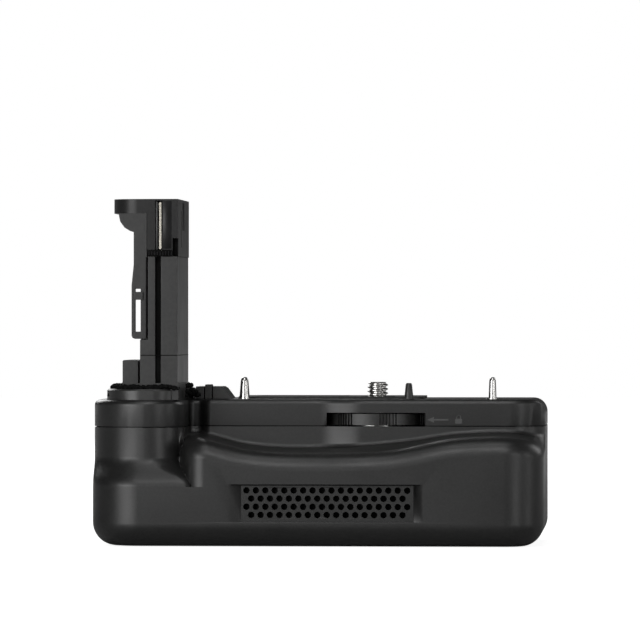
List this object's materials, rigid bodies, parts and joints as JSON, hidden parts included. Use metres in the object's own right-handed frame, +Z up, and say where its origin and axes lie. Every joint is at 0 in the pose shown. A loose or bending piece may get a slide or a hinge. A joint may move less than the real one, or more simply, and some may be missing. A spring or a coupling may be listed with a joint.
{
  "type": "camera battery grip",
  "caption": "Battery grip for a mirrorless camera, with a battery tower, front vent grille, cooling fan and a camera screw turned by a thumb wheel.",
  "frame": {"origin": "on the face it stands on, near its middle", "axes": "+X to the right as seen from the front, +Y from the vent to the battery door, +Z up to the camera"},
  "size_m": [0.1364, 0.074, 0.1045],
  "materials": {
    "body_plastic": "fine matte texture",
    "tower_plastic": "satin",
    "trim_plastic": "satin",
    "grille_plastic": "satin",
    "soft_rubber": "matte",
    "bright_steel": "polished",
    "plate_metal": "satin",
    "contact_metal": "bright",
    "insert_metal": "satin",
    "board_green": "satin",
    "fan_plastic": "satin",
    "screw_metal": "dark zinc"
  },
  "bodies": {
    "grip": {"lower_housing": "body_plastic", "upper_housing": "body_plastic", "vent_grille": "grille_plastic", "chassis_plate": "plate_metal", "wheel_washer": "insert_metal", "screw_bearing": "insert_metal", "guide_pin_left": "bright_steel", "guide_pin_right": "bright_steel", "locating_peg": "trim_plastic", "tripod_socket": "insert_metal", "top_seal": "soft_rubber", "tower_base": "tower_plastic", "column_left_shell": "tower_plastic", "column_right_shell": "tower_plastic", "contact_head": "tower_plastic", "tower_contacts": "contact_metal", "cover_holder_arm": "tower_plastic", "cover_stop_block": "tower_plastic", "tower_collar": "trim_plastic", "tower_gasket": "soft_rubber", "pocket_block": "trim_plastic", "switch_post": "trim_plastic", "door_hinge_pin": "bright_steel", "bay_liner": "trim_plastic", "bay_contacts": "contact_metal", "catch_bracket": "trim_plastic", "fan_housing": "fan_plastic", "fan_lid": "fan_plastic", "air_duct": "fan_plastic", "main_board": "board_green", "housing_screws": "screw_metal", "tower_screws": "screw_metal"},
    "wheel": {"lock_wheel": "trim_plastic", "attachment_screw": "bright_steel", "screw_clip": "insert_metal"},
    "impeller": {"fan_impeller": "fan_plastic"},
    "cover_catch": {"cover_latch": "tower_plastic"},
    "door": {"battery_door": "body_plastic"},
    "door_bolt": {"door_latch": "trim_plastic"},
    "bay_catch": {"battery_catch": "trim_plastic"}
  },
  "joints": [
    {"name": "wheel_turn", "type": "hinge", "parent": "grip", "child": "wheel", "pos_m": [0.01735, 0.007, 0.0378], "axis": [0, 0, 1], "continuous": true},
    {"name": "fan_turn", "type": "hinge", "parent": "grip", "child": "impeller", "pos_m": [-0.01, 0.0135, 0.012], "axis": [0, 0, 1], "continuous": true},
    {"name": "cover_catch_slide", "type": "slide", "parent": "grip", "child": "cover_catch", "axis": [0, 0, 1], "range_m": [-0.0094, 0.0008]},
    {"name": "door_hinge", "type": "hinge", "parent": "grip", "child": "door", "pos_m": [0.062, 0.036, 0.0165], "axis": [0, 0, -1], "range_deg": [0, 100]},
    {"name": "door_bolt_slide", "type": "slide", "parent": "door", "child": "door_bolt", "axis": [-1, 0, 0], "range_m": [0, 0.0015]},
    {"name": "bay_catch_slide", "type": "slide", "parent": "grip", "child": "bay_catch", "axis": [0, 0, 1], "range_m": [0, 0.0014], "stiffness_N_per_m": 150, "springref_m": -0.002}
  ]
}
